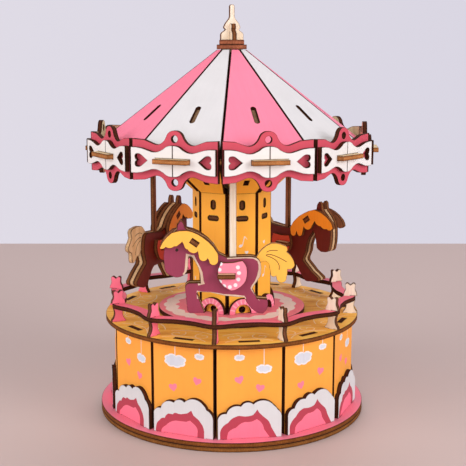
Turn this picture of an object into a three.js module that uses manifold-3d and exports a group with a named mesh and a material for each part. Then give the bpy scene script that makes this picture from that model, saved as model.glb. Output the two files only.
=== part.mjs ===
// A laser-cut plywood merry-go-round: a round drum with a fenced deck, and a carousel of three
// horses, a column, a scalloped canopy ring and a ten-sided roof that turns on a dowel.
// Millimetres, +Z up, origin at the centre of the underside. Angles run from -Y towards +X.
import * as THREE from "three";
import { mergeVertices } from "three/addons/utils/BufferGeometryUtils.js";
import Module from "manifold-3d";

// ---- Driving dimensions -------------------------------------------------------------------
const PLY = 3; // thickness of every sheet piece
const FIT = 0.2; // side clearance of a tab in its slot
const SEAM = 0.1; // glue line between the layers of a horse
const RUN = 0.3; // running clearance between the carousel and the stand

const BASE_R = 91.5;
const DRUM_SIDES = 12;
const DRUM_INNER = 78; // apothem of the wall panels' inner face
const WALL_HALF = 20.7;
const WALL_TOP = 64.8;
const DECK_R = 87.1;
const DECK_TOP = WALL_TOP + PLY;
const RAIL_TOP = DECK_TOP + 12.2;
const RAIL_INNER = [72.8, 77.5]; // radii between the posts and at them
const RAIL_OUTER = [80, 85.5];
const POST_R = 82; // centre line of the fence posts

const TURNTABLE_R = 50.6;
const TURNTABLE_BOTTOM = DECK_TOP + RUN;
const TURNTABLE_TOP = TURNTABLE_BOTTOM + PLY;
const AXLE_R = 4;
const AXLE_TOP = 110;
const COLLAR_R = 12;

const COLUMN_SIDES = 8;
const COLUMN_FACE = 25.3; // apothem of the column's outer faces
const COLUMN_HALF = 9.5; // half the width of one column panel
const COLUMN_TOP = 152.4;
const ARCH_OUTER = 9.7;
const ARCH_INNER = 5.5;
const ARCH_CENTRE_Z = TURNTABLE_TOP + 1;
const COLUMN_SLOTS = [[-4, 134, 4, 137.3], [-1.75, 141.7, 1.75, 147.5]];
const CAPITAL_LEDGE = 1.2; // how far the capital's foot stands out from the column
const COLUMN_TURN = 2; // degrees, from the carousel

const CANOPY_SIDES = 10;
const CEILING_MID = 180.6;
const CEILING_BOTTOM = CEILING_MID - PLY / 2;
const CEILING_TOP = CEILING_MID + PLY / 2;
const CEILING_TAB_HALF = 11.2;
const CEILING_TAB_R = 98;
const FASCIA_INNER = 87.5; // apothem of the fascia's back
const FASCIA_HALF = 28;
const EYELET_R = 2.15;
const EYELET_RISE = 13; // above and below the fascia's middle

const ROOF_SLOPE = Math.atan(0.786);
const ROOF_EAVE_R = 87.2; // apothem of the roof's lower edge, on its upper face
const ROOF_EAVE_Z = 184.75;
const ROOF_TOP_R = 9.6;
const ROOF_SLOT = [27, 42.2]; // along the slope, from the eave
const RIB_TAB_DEPTH = 1.2; // from the roof's upper face down to the ribs' tabs
const HUB_R = 7.2;
const FINIAL_BOTTOM = 246;
const FINIAL_STEPS = [10, 8.3]; // radii of the two round plates
const CROSSING_TOP = 10.6; // height of the finial's shorter blade

const CAROUSEL_TURN = 6.2; // degrees; how far the carousel stands turned at rest
const HORSE_R = 61.5; // radius of the middle layer of each horse
const POLE_FOOT = 116;

// ---- Outlines: corners [x, y, bulge] -------------------------------------------------------
// A bulge is the tangent of a quarter of the arc's turn to the next corner. It is positive
// where the arc swells out of an outline that runs anticlockwise, and 0 or absent if straight.
const SKIRT = [
  [-19.5, 6], [22, 6], [22, 14, 0.38], [17.2, 24.9, 0.62], [2.2, 28, 0.5], [-5.3, 26.7, 0.6],
  [-14.4, 21, 0.55], [-19.5, 14],
];
const POST_HALF = [
  [4.8, 0], [4.6, 1.2, -0.2], [2.6, 5.8, -0.1], [3.6, 9.4], [4.7, 12.2], [4.2, 14.6, -0.15],
  [3.2, 17], [3.4, 19.2, 0.75], [1.3, 20.7, -0.1], [0, 19.6],
];
const FASCIA_QUARTER = [
  [FASCIA_HALF, 0], [FASCIA_HALF, 12.6, 0.05], [20, 12], [14, 9.8, -0.28], [8, 10.8, -0.12],
  [5.5, 14.2, 0.36], [0, 18],
];
const WAVE_QUARTER = [
  [27.7, 0], [27.7, 7.8, 0.06], [20.5, 7.3], [15.5, 5.8, -0.22], [8.1, 6.1, -0.1],
  [4.8, 8.2, 0.16], [0.15, 9.3],
];
const HEART_HALF = [[23.4, 0, 0.55], [24.4, 3.6, 0.3], [20.4, 3], [16.7, 0]];
const FINIAL_LEAVES = [
  [7.7, 0], [7.7, 3.6, 0.2], [6.2, 5.4], [5, 6.2], [4.6, 7, 0.5], [5.4, 9, 0.1],
];
const FINIAL_HALF = [
  ...FINIAL_LEAVES, [3.4, 12.2], [2, 14], [1.6, 15.5], [1.6, 22], [0.9, 23],
];
const CROSSING_HALF = [...FINIAL_LEAVES, [4.4, CROSSING_TOP], [0, CROSSING_TOP]];

// The front horse stands; the other two gallop.
const STANDING = {
  body: [
    [13.3, 83, 0.15], [17.4, 82, 0.3], [20.7, 88.5, 0.1], [20.3, 91.1], [13.7, 91.6],
    [10.8, 97.9, -0.2], [11.8, 100], [15.8, 106, 0.12], [16.2, 113.7, 0.25], [13, 118, 0.1],
    [6.5, 118.6], [-5.5, 118.2], [-9.9, 120.4], [-13.6, 125.8, 0.08], [-18.5, 130.6, 0.08],
    [-29.5, 135.6], [-31.4, 137.2], [-31.6, 139, 0.1], [-33.5, 141.7, 0.1], [-35.7, 138.8],
    [-36, 136, 0.12], [-43.8, 127, 0.08], [-44.1, 111.5, 0.25], [-41, 107.2],
    [-37.2, 105.7, 0.2], [-31.5, 107.6, 0.15], [-29.4, 113], [-29, 118.8, -0.7],
    [-27.3, 119.2], [-25, 115.8], [-23, 111.9], [-22, 108], [-21.6, 103.5], [-21.5, 101.9],
    [-28.6, 101.9, 0.35], [-31.4, 99.2], [-30, 84.2, 0.3], [-28.3, 82.6],
    [-19.2, 82.6, -0.05], [-24.1, 95.2, -0.35], [-22.6, 96.4], [-15.6, 96], [-6.9, 93.8],
    [1, 92.9], [5.8, 92.5, 0.16],
  ],
  tail: [
    [12.5, 113.4], [16.3, 114.4], [19.2, 115, -0.3], [21.6, 111.8, 0.05], [22.5, 107, 0.7],
    [25.9, 105.6], [26.3, 103.8, 1], [32.6, 104.8, 0.08], [33.2, 109.8, 0.45],
    [37.6, 112.6, 0.22], [32.4, 120.9, 0.6], [30.9, 125, 0.15], [23, 126.5, 0.15],
    [15.5, 121, 0.08], [13.2, 116.8],
  ],
  mane: [
    [-46.9, 125, 0.4], [-43.1, 125.7, 0.35], [-37.8, 126.1, 0.3], [-34.9, 127.2, 0.1],
    [-32.9, 128.9, -0.1], [-31.4, 125.5, 0.3], [-29.7, 124.2, 0.2], [-27.2, 122, 0.35],
    [-23.2, 122.9, -0.05], [-22.6, 119, 0.75], [-17.1, 118.4, -0.1], [-16, 115.4, 0.8],
    [-10.6, 117.5, 0.1], [-10.9, 121.5, 0.12], [-20.2, 131.7, 0.12], [-30, 136, 0.1],
    [-39.2, 134.7, 0.15],
  ],
  saddle: [
    [-9, 116.2, 0.1], [-11.3, 107, 0.22], [-2.5, 97.6, 0.25], [6.6, 104.1, 0.12],
    [7.1, 112.6, 0.12], [4.4, 116.8, -0.1], [-7.4, 115.4],
  ],
  ears: [-37, 135.8, -30.4, 143], // the middle layer has none
  manePeg: { x: -25.3, y: 128.4, half: [2.5, 1.6], turn: -35 },
  saddlePeg: { x: -5.6, y: 107.1, half: [5.4, 1.5], turn: 0 },
  pole: { x: -1.3, half: 2.2 },
};
const GALLOPING = {
  body: [
    [20.4, 82.6], [22.9, 82], [30.8, 84.9, 0.3], [32.1, 87.9], [26.6, 92.8],
    [20.4, 97.1, -0.3], [18.8, 99.5], [21.4, 107, 0.1], [20.9, 113.5, 0.1], [19.4, 118, 0.2],
    [15.7, 119.6], [8, 118.6], [-4, 117.9], [-8.8, 119.6], [-12.3, 124.2, 0.08],
    [-20.6, 130.4, 0.08], [-29.3, 133.9], [-29.8, 137.4, 0.1], [-31.6, 140, 0.15],
    [-33.3, 138.6], [-33.7, 135], [-34.5, 133.4, 0.1], [-40.6, 126, 0.1],
    [-42, 116.5, 0.08], [-40.7, 106.8, 0.3], [-37.6, 104.5], [-34, 104.3, 0.1],
    [-30.2, 106.6], [-28.9, 114], [-27.6, 118.4, -0.5], [-26.3, 118], [-22.4, 112.2],
    [-20.6, 107], [-20, 102.4], [-17.7, 97.2, -0.3], [-19, 94.2], [-25.3, 88.6],
    [-31.3, 84.8, 0.25], [-31.6, 82.6], [-23.2, 81, 0.1], [-20, 81.2], [-14.2, 88.2],
    [-11, 93.2, -0.2], [-7.5, 95.2], [2.5, 94.9], [8, 94.8, -0.2], [13.4, 89.2],
  ],
  tail: [
    [14, 113.5], [17.6, 114.4], [20, 110.6], [22.3, 106.4, 0.2], [26.8, 104.6],
    [28.6, 102.4, 0.2], [31.6, 100.9, 0.3], [33.2, 105.2], [33.5, 108.2],
    [36.9, 109.9, 0.4], [36.4, 114.2], [33, 118.6], [34, 122.4, 0.35], [29.8, 125, 0.12],
    [19.8, 124.9, 0.15], [15, 120.5],
  ],
  mane: [
    [-29.4, 134.5, 0.08], [-37, 132.6, 0.1], [-44.7, 127, 0.1], [-46.3, 123.2, 0.5],
    [-40.8, 121.9, 0.35], [-35.8, 123.2, 0.3], [-30.3, 126.2], [-27.9, 122.4, 0.65],
    [-20.6, 121.2], [-19.4, 116.2, 0.95], [-14.6, 116.2], [-14.2, 117.2],
    [-13.6, 115.6, 0.95], [-8.8, 115.6, 0.1], [-8.4, 119, 0.12], [-12.1, 124.9, 0.1],
    [-20.5, 131, 0.08],
  ],
  saddle: [
    [-7.4, 113.4, 0.08], [-8.4, 106.5, 0.24], [-1.5, 97.6, 0.3], [6.6, 101.6, 0.15],
    [9, 108, 0.1], [7.8, 113.4, -0.1],
  ],
  ears: [-34.5, 134.3, -28.9, 141],
  manePeg: { x: -22.9, y: 126.7, half: [2.5, 1.6], turn: -35 },
  saddlePeg: { x: -2.5, y: 106.9, half: [5.4, 1.5], turn: 0 },
  pole: { x: 0, half: 1.5 },
};
const HORSES = [
  { name: "front", angle: -12.4, shape: STANDING, coat: "plum", mane: "yellow", saddle: "pink" },
  {
    name: "left", angle: -129.2, shape: GALLOPING, coat: "maroon", mane: "amber",
    saddle: "brick",
  },
  {
    name: "right", angle: 123.8, shape: GALLOPING, coat: "maroon", mane: "amber",
    saddle: "brick",
  },
];

// ---- Materials ------------------------------------------------------------------------------
const paint = (color, roughness = 0.7) =>
  new THREE.MeshStandardMaterial({ color, roughness, metalness: 0 });
const MATERIALS = {
  natural: paint(0xd8b88c, 0.75),
  pink: paint(0xf48ba4),
  crimson: paint(0xc9405f),
  white: paint(0xf3ede4),
  orange: paint(0xf2a034),
  deck: paint(0xd99a45),
  plum: paint(0x8c3350),
  maroon: paint(0x4a1612),
  yellow: paint(0xf6b94a),
  amber: paint(0xe87f1c),
  brick: paint(0xa3301f),
};

// ---- Geometry helpers -------------------------------------------------------------------------
const radians = THREE.MathUtils.degToRad;
const ARC_STEP = radians(42); // the most that one straight piece of an arc may turn
const DISC_PIECES = 64;
const BORE_PIECES = 20;
const polar = (radius, angle) => [radius * Math.sin(angle), -radius * Math.cos(angle)];

// Points along corners with bulges; open paths keep their last corner.
function trace(corners, closed) {
  const points = [];
  corners.forEach(([x, y, bulge = 0], i) => {
    points.push([x, y]);
    const next = corners[i + 1] ?? (closed ? corners[0] : null);
    if (!next || !bulge) return;
    const turn = 4 * Math.atan(bulge);
    const [dx, dy] = [next[0] - x, next[1] - y];
    const lift = (1 - bulge * bulge) / (4 * bulge); // centre's distance from the chord, over 2
    const [cx, cy] = [x + dx / 2 - dy * lift, y + dy / 2 + dx * lift];
    const pieces = Math.ceil(Math.abs(turn) / ARC_STEP);
    for (let k = 1; k < pieces; k++) {
      const a = (turn * k) / pieces;
      const [rx, ry] = [x - cx, y - cy];
      points.push([
        cx + rx * Math.cos(a) - ry * Math.sin(a),
        cy + rx * Math.sin(a) + ry * Math.cos(a),
      ]);
    }
  });
  return points;
}

const closedOutline = (corners) => trace(corners, true);

// A path on x >= 0 from its lowest corner to its top, with its mirror image in x.
function mirrored(corners) {
  const half = trace(corners, false);
  const other = half.filter(([x]) => x > 0).map(([x, y]) => [-x, y]);
  return [...half, ...other.reverse()];
}

const circle = (radius, pieces, x = 0, y = 0) =>
  Array.from({ length: pieces }, (_, i) => {
    const a = (2 * Math.PI * i) / pieces;
    return [x + radius * Math.cos(a), y + radius * Math.sin(a)];
  });

const rectangle = (x0, y0, x1, y1) => [[x0, y0], [x1, y0], [x1, y1], [x0, y1]];

function turned(points, angle, x = 0, y = 0) {
  const [c, s] = [Math.cos(angle), Math.sin(angle)];
  return points.map(([px, py]) => [x + px * c - py * s, y + px * s + py * c]);
}

const pegOutline = ({ x, y, half: [w, h], turn }, room = 0) =>
  turned(rectangle(-w - room, -h - room, w + room, h + room), radians(turn), x, y);

const wasm = await Module();
wasm.setup();

function toSolid(geometry) {
  const bare = geometry.clone();
  bare.deleteAttribute("normal");
  bare.deleteAttribute("uv");
  const merged = mergeVertices(bare);
  return new wasm.Manifold(
    new wasm.Mesh({
      numProp: 3,
      vertProperties: merged.attributes.position.array,
      triVerts: new Uint32Array(merged.index.array),
    }),
  );
}

function toGeometry(solid) {
  const { vertProperties, triVerts } = solid.getMesh();
  return new THREE.BufferGeometry()
    .setAttribute("position", new THREE.BufferAttribute(vertProperties, 3))
    .setIndex(new THREE.BufferAttribute(triVerts, 1));
}

const join = (geometries) =>
  toGeometry(geometries.map(toSolid).reduce((all, one) => all.add(one)));

const cut = (geometry, tools) =>
  toGeometry(tools.map(toSolid).reduce((left, tool) => left.subtract(tool), toSolid(geometry)));

function slab(points, depth) {
  const shape = new THREE.Shape(points.map(([x, y]) => new THREE.Vector2(x, y)));
  return new THREE.ExtrudeGeometry(shape, { depth, bevelEnabled: false, steps: 1 });
}

// A sheet drawn in x and y, from z = 0 up, with its holes cut right through.
function sheet(points, holes = [], depth = PLY) {
  const plain = slab(points, depth);
  if (!holes.length) return plain;
  return cut(plain, holes.map((hole) => slab(hole, depth + 2).translate(0, 0, -1)));
}

// A horizontal sheet with its underside at z.
const flat = (points, holes, z, depth = PLY) => sheet(points, holes, depth).translate(0, 0, z);

// An upright sheet across the front, drawn in x and z, with its back at the given apothem.
const upright = (points, holes, apothem, depth = PLY) =>
  sheet(points, holes, depth).rotateX(Math.PI / 2).translate(0, -apothem, 0);

// An upright sheet along the radius at the front, drawn in radius and z.
const fin = (points) =>
  sheet(points)
    .rotateX(Math.PI / 2)
    .translate(0, PLY / 2, 0)
    .rotateZ(-Math.PI / 2);

// The same geometry repeated round the axis.
const around = (geometry, sides, offset = 0) =>
  Array.from({ length: sides }, (_, k) =>
    geometry.clone().rotateZ(radians((360 / sides) * (k + offset))),
  );

// ---- The tree ------------------------------------------------------------------------------------
const group = new THREE.Group();
const stand = new THREE.Group();
const carousel = new THREE.Group();
carousel.rotation.z = radians(CAROUSEL_TURN);
group.add(stand, carousel);

function add(parent, name, geometry, material) {
  const mesh = new THREE.Mesh(geometry, MATERIALS[material]);
  mesh.name = name;
  parent.add(mesh);
  return mesh;
}

// Copies of one piece round the axis, named piece_01, piece_02 and so on.
function addRing(parent, name, sides, geometry, materialOf) {
  for (let k = 0; k < sides; k++) {
    const number = String(k + 1).padStart(2, "0");
    const mesh = add(parent, `${name}_${number}`, geometry, materialOf(k));
    mesh.rotation.z = radians((360 / sides) * k);
  }
}

// ---- Stand ---------------------------------------------------------------------------------------
const WALL_TAB = 7;
const SKIRT_TAB = [12, 17];
const SKIRT_INNER = DRUM_INNER + PLY;
const POST_TAB = [80, 84];

// A slot across the radius, cut for a tab between two x values behind the given apothem.
const slotFor = (x0, x1, apothem) =>
  rectangle(x0 - FIT, -apothem - PLY - FIT, x1 + FIT, -apothem + FIT);

const ringOf = (hole, sides, offset = 0) =>
  Array.from({ length: sides }, (_, k) => turned(hole, radians((360 / sides) * (k + offset))));

function buildBasePlates() {
  const wallSlots = ringOf(slotFor(-WALL_TAB, WALL_TAB, DRUM_INNER), DRUM_SIDES);
  const [near, far] = SKIRT_TAB;
  const skirtSlots = [slotFor(near, far, SKIRT_INNER), slotFor(-far, -near, SKIRT_INNER)].flatMap(
    (slot) => ringOf(slot, DRUM_SIDES),
  );
  const holes = [...wallSlots, ...skirtSlots, circle(AXLE_R + RUN, BORE_PIECES)];
  add(stand, "base_plate_lower", flat(circle(BASE_R, DISC_PIECES), [], 0), "pink");
  add(stand, "base_plate_upper", flat(circle(BASE_R, DISC_PIECES), holes, PLY), "pink");
}

function buildWalls() {
  const floor = 2 * PLY;
  const wall = upright(
    [
      [-WALL_HALF, floor], [-WALL_TAB, floor], [-WALL_TAB, PLY], [WALL_TAB, PLY],
      [WALL_TAB, floor], [WALL_HALF, floor], [WALL_HALF, WALL_TOP], [WALL_TAB, WALL_TOP],
      [WALL_TAB, DECK_TOP], [-WALL_TAB, DECK_TOP], [-WALL_TAB, WALL_TOP], [-WALL_HALF, WALL_TOP],
    ],
    [],
    DRUM_INNER,
  );
  const skirt = upright(closedOutline(SKIRT), [], SKIRT_INNER);
  const [near, far] = SKIRT_TAB;
  const tabs = [rectangle(near, PLY, far, floor), rectangle(-far, PLY, -near, floor)].map(
    (tab) => upright(tab, [], SKIRT_INNER),
  );
  addRing(stand, "wall_panel", DRUM_SIDES, join([wall, skirt, ...tabs]), () => "orange");
}

function buildDeck() {
  const [near, far] = POST_TAB;
  const postSlot = rectangle(-PLY / 2 - FIT, -far - FIT, PLY / 2 + FIT, -near + FIT);
  const holes = [
    ...ringOf(slotFor(-WALL_TAB, WALL_TAB, DRUM_INNER), DRUM_SIDES),
    ...ringOf(postSlot, DRUM_SIDES, 0.5),
    circle(AXLE_R + RUN, BORE_PIECES),
  ];
  add(stand, "deck_plate", flat(circle(DECK_R, DISC_PIECES), holes, WALL_TOP), "deck");
}

// The rail's two edges swell out at the posts and draw in between them.
function railEdge(low, high, pieces) {
  return Array.from({ length: pieces }, (_, i) => {
    const angle = (2 * Math.PI * i) / pieces;
    const swell = (1 - Math.cos(DRUM_SIDES * angle)) / 2;
    return polar(low + (high - low) * swell ** 1.5, angle);
  });
}

function buildRailing() {
  const inner = railEdge(...RAIL_INNER, 36);
  const rail = flat(railEdge(...RAIL_OUTER, 72), [inner], RAIL_TOP - PLY);
  const [near, far] = POST_TAB;
  const body = mirrored(POST_HALF).map(([x, y]) => [POST_R + x, DECK_TOP + y]);
  const tab = rectangle(near, WALL_TOP, far, DECK_TOP);
  const post = join([fin(body), fin(tab)]);
  add(stand, "railing", join([rail, ...around(post, DRUM_SIDES, 0.5)]), "pink");
}

function buildAxle() {
  const pin = flat(circle(AXLE_R, BORE_PIECES), [], PLY, AXLE_TOP - PLY);
  add(stand, "axle_dowel", pin, "natural");
}

// ---- Carousel ------------------------------------------------------------------------------------
function buildTurntable() {
  const bore = circle(AXLE_R + RUN, BORE_PIECES);
  const disc = flat(circle(TURNTABLE_R, DISC_PIECES), [bore], TURNTABLE_BOTTOM);
  add(carousel, "turntable_disc", disc, "pink");
  const collar = flat(circle(COLLAR_R, 24), [bore], TURNTABLE_TOP, 2 * PLY);
  add(carousel, "hub_collar", collar, "natural");
}

// Eight upright panels that meet along their inner edges.
function buildColumn() {
  const half = Math.PI / COLUMN_SIDES;
  const inner = COLUMN_FACE - PLY;
  const notch = COLUMN_HALF / Math.tan(half);
  const side = [[-COLUMN_HALF, -COLUMN_FACE], [COLUMN_HALF, -COLUMN_FACE], [COLUMN_HALF, -notch]];
  const plan = ringOf(side, COLUMN_SIDES).flat();
  const hollow = Array.from({ length: COLUMN_SIDES }, (_, k) =>
    polar(inner / Math.cos(half), half * (2 * k + 1)),
  );
  const height = COLUMN_TOP - TURNTABLE_TOP;
  const shaft = flat(plan, [hollow], TURNTABLE_TOP, height);

  const foot = TURNTABLE_TOP;
  const archOf = (radius, bottom) => closedOutline([
    [-radius, bottom], [radius, bottom], [radius, ARCH_CENTRE_Z, 1], [-radius, ARCH_CENTRE_Z],
  ]);
  const arch = upright(archOf(ARCH_OUTER, foot), [], COLUMN_FACE - 1, PLY + 1);
  const shell = join([shaft, ...around(arch, COLUMN_SIDES)]);

  // The arches open into the hollow column.
  const slots = COLUMN_SLOTS.map((corners) => rectangle(...corners));
  const tools = [archOf(ARCH_INNER, foot - 1), ...slots]
    .map((hole) => upright(hole, [], inner - 1, 3 * PLY))
    .flatMap((tool) => around(tool, COLUMN_SIDES));
  add(carousel, "column", cut(shell, tools), "orange").rotation.z = radians(COLUMN_TURN);
}

// The funnel of eight sloping panels between the column and the ceiling.
function buildCapital() {
  const rise = CEILING_BOTTOM - SEAM - COLUMN_TOP;
  const start = COLUMN_FACE + CAPITAL_LEDGE;
  const wall = PLY * Math.SQRT2;
  const profile = [
    [start, 0.1], [start + rise, rise], [start + rise - wall, rise], [start - wall, 0.1],
  ].map(([r, y]) => new THREE.Vector2(r / Math.cos(Math.PI / COLUMN_SIDES), y));
  profile.push(profile[0].clone());
  const funnel = new THREE.LatheGeometry(profile, COLUMN_SIDES)
    .rotateX(Math.PI / 2)
    .rotateZ(Math.PI / COLUMN_SIDES)
    .translate(0, 0, COLUMN_TOP);
  add(carousel, "capital", funnel, "orange").rotation.z = radians(COLUMN_TURN);
}

function buildCeiling() {
  const edge = FASCIA_INNER - RUN;
  const corner = edge * Math.tan(Math.PI / CANOPY_SIDES);
  const side = [
    [-corner, -edge], [-CEILING_TAB_HALF, -edge], [-CEILING_TAB_HALF, -CEILING_TAB_R],
    [CEILING_TAB_HALF, -CEILING_TAB_R], [CEILING_TAB_HALF, -edge],
  ];
  const plan = ringOf(side, CANOPY_SIDES).flat();
  const poleSlots = HORSES.map(({ angle, shape: { pole } }) => {
    const [room, depth] = [pole.half + FIT, PLY / 2 + FIT];
    const slot = rectangle(
      pole.x - room, -HORSE_R - depth, pole.x + room, -HORSE_R + depth,
    );
    return turned(slot, radians(angle));
  });
  add(carousel, "ceiling_plate", flat(plan, poleSlots, CEILING_BOTTOM), "natural");
}

// The scalloped panel and, in front of it, two wavy layers with a heart-shaped window each.
function buildFascia() {
  const raise = (points) => points.map(([x, y]) => [x, y + CEILING_MID]);
  const upper = mirrored(FASCIA_QUARTER);
  const lower = upper.filter(([, y]) => y > 0).map(([x, y]) => [x, -y]);
  const slotHalf = PLY / 2 + FIT;
  const tabSlot = rectangle(
    -CEILING_TAB_HALF - FIT, -slotHalf, CEILING_TAB_HALF + FIT, slotHalf,
  );
  const eyelets = [EYELET_RISE, -EYELET_RISE].map((y) => circle(EYELET_R, 8, 0, y));
  const back = upright(
    raise([...upper, ...lower.reverse()]),
    [tabSlot, ...eyelets].map(raise),
    FASCIA_INNER,
  );

  const top = trace(WAVE_QUARTER, false);
  const bottom = top.filter(([, y]) => y > 0).map(([x, y]) => [x, -y]);
  const wave = [
    ...bottom.reverse(),
    ...top,
    [0.15, slotHalf],
    [CEILING_TAB_HALF + FIT, slotHalf],
    [CEILING_TAB_HALF + FIT, -slotHalf],
    [0.15, -slotHalf],
  ];
  const heartTop = trace(HEART_HALF, false);
  const heartBottom = heartTop.filter(([, y]) => y > 0).map(([x, y]) => [x, -y]);
  const heart = [...heartTop, ...heartBottom.reverse()];
  const half = (mirror) => {
    const flip = (points) => points.map(([x, y]) => [mirror * x, y]);
    return upright(raise(flip(wave)), [raise(flip(heart))], FASCIA_INNER + PLY);
  };
  addRing(carousel, "fascia_panel", CANOPY_SIDES, join([back, half(1), half(-1)]), () => "crimson");
}

// A point of the roof at the front: distance up the slope, and height above the lower face.
function roofPoint(along, above) {
  const [c, s] = [Math.cos(ROOF_SLOPE), Math.sin(ROOF_SLOPE)];
  const lift = above - PLY;
  return [ROOF_EAVE_R - along * c + lift * s, ROOF_EAVE_Z + along * s + lift * c];
}

function buildRoof() {
  const [eaveR, eaveZ] = roofPoint(0, 0);
  const length = (ROOF_EAVE_R - ROOF_TOP_R) / Math.cos(ROOF_SLOPE);
  const spread = Math.tan(Math.PI / CANOPY_SIDES);
  const halfAt = (along) => roofPoint(along, 0)[0] * spread - FIT;
  const [low, high] = [halfAt(0), halfAt(length)];
  const panel = sheet(
    [[-low, 0], [low, 0], [high, length], [-high, length]],
    [rectangle(-PLY / 2 - FIT, ROOF_SLOT[0], PLY / 2 + FIT, ROOF_SLOT[1])],
  )
    .rotateX(ROOF_SLOPE)
    .translate(0, -eaveR, eaveZ);
  addRing(carousel, "roof_panel", CANOPY_SIDES, panel, (k) => (k % 2 ? "white" : "pink"));
}

// Ten ribs on a round post: each rib's tab fills the slot of its roof panel.
function buildRoofFrame() {
  const [from, to] = ROOF_SLOT;
  const under = -RUN;
  const tabTop = PLY - RIB_TAB_DEPTH;
  const tip = roofPoint((ROOF_EAVE_R - HUB_R - PLY / 2) / Math.cos(ROOF_SLOPE), under);
  const rib = fin([
    [HUB_R - 2, CEILING_TOP], [ROOF_EAVE_R - 2.4, CEILING_TOP], roofPoint(RUN, under),
    roofPoint(from + FIT, under), roofPoint(from + FIT, tabTop), roofPoint(to - FIT, tabTop),
    roofPoint(to - FIT, under), tip, [HUB_R - 2, tip[1]],
  ]);
  const post = flat(circle(HUB_R, 20), [], CEILING_TOP, FINIAL_BOTTOM - CEILING_TOP);
  add(carousel, "roof_frame", join([post, ...around(rib, CANOPY_SIDES)]), "natural");
}

function buildFinial() {
  const plates = FINIAL_STEPS.map((radius, i) =>
    flat(circle(radius, 24), [], FINIAL_BOTTOM + i * PLY),
  );
  add(carousel, "finial_base", join(plates), "natural");
  const foot = FINIAL_BOTTOM + FINIAL_STEPS.length * PLY;
  const bladeOf = (corners) =>
    upright(mirrored(corners).map(([x, y]) => [x, foot + y]), [], -PLY / 2);
  const crossing = bladeOf(CROSSING_HALF).rotateZ(Math.PI / 2);
  add(carousel, "finial_cross", join([bladeOf(FINIAL_HALF), crossing]), "natural");
}

// ---- Horses: mane | side | core with tail and pole | side | mane, with two cross pegs -----------
const layerAt = (level) => HORSE_R - PLY / 2 + level * (PLY + SEAM);

function buildHorse({ name, angle, shape, coat, mane, saddle }) {
  const horse = new THREE.Group();
  horse.rotation.z = radians(angle);
  carousel.add(horse);
  const part = (piece, geometry, material) =>
    add(horse, `horse_${name}_${piece}`, geometry, material);

  const { manePeg, saddlePeg, pole } = shape;
  const pegHoles = [manePeg, saddlePeg].map((peg) => pegOutline(peg, FIT));
  const body = closedOutline(shape.body);
  part("outer_side", upright(body, pegHoles, layerAt(1)), coat);
  part("inner_side", upright(body, pegHoles, layerAt(-1)), coat);

  const ears = upright(rectangle(...shape.ears), [], layerAt(0) - 1, PLY + 2);
  const tail = upright(closedOutline(shape.tail), [], layerAt(0));
  const rod = rectangle(pole.x - pole.half, POLE_FOOT, pole.x + pole.half, CEILING_TOP);
  const core = cut(upright(body, pegHoles, layerAt(0)), [ears]);
  part("core", join([core, tail, upright(rod, [], layerAt(0))]), mane);

  const bar = (peg, reach) =>
    upright(pegOutline(peg), [], layerAt(-2) - reach, 5 * PLY + 4 * SEAM + 2 * reach);
  const pair = (corners) =>
    [-2, 2].map((level) => upright(closedOutline(corners), [], layerAt(level)));
  part("manes", join([...pair(shape.mane), bar(manePeg, 0)]), mane);
  part("saddles", join([...pair(shape.saddle), bar(saddlePeg, PLY)]), saddle);
}

buildBasePlates();
buildWalls();
buildDeck();
buildRailing();
buildAxle();
buildTurntable();
buildColumn();
buildCapital();
buildCeiling();
buildFascia();
buildRoof();
buildRoofFrame();
buildFinial();
HORSES.forEach(buildHorse);

export default group;
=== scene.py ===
"""A laser-cut plywood merry-go-round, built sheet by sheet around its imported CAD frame."""

import zlib
from math import atan, atan2, ceil, cos, hypot, pi, radians, sin, sqrt, tan, tau

import bpy
import numpy as np
from mathutils import Matrix, Vector
from mathutils.geometry import delaunay_2d_cdt


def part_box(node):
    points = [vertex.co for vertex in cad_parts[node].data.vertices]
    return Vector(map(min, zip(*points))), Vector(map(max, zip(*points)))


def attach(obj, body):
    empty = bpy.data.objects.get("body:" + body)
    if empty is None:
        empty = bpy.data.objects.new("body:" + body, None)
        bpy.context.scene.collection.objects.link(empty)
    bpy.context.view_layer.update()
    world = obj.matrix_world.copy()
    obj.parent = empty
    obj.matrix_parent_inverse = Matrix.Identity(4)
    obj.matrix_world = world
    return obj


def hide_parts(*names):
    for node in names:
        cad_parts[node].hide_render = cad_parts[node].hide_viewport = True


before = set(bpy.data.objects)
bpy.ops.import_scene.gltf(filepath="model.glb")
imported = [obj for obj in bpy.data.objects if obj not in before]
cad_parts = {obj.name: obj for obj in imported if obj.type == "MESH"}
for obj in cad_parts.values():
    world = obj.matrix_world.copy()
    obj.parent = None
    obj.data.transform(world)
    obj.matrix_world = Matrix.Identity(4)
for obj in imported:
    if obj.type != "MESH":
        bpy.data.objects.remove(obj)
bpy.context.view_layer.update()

# Outlines are drawn in millimetres, and Blender's unit is the metre.
MM = 0.001


def low(node, axis=2):
    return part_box(node)[0][axis] / MM


def high(node, axis=2):
    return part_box(node)[1][axis] / MM


def bearing(node):
    """The angle of a node's middle round the axis, from -Y towards +X."""
    a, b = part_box(node)
    return atan2(a.x + b.x, -(a.y + b.y))


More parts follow.
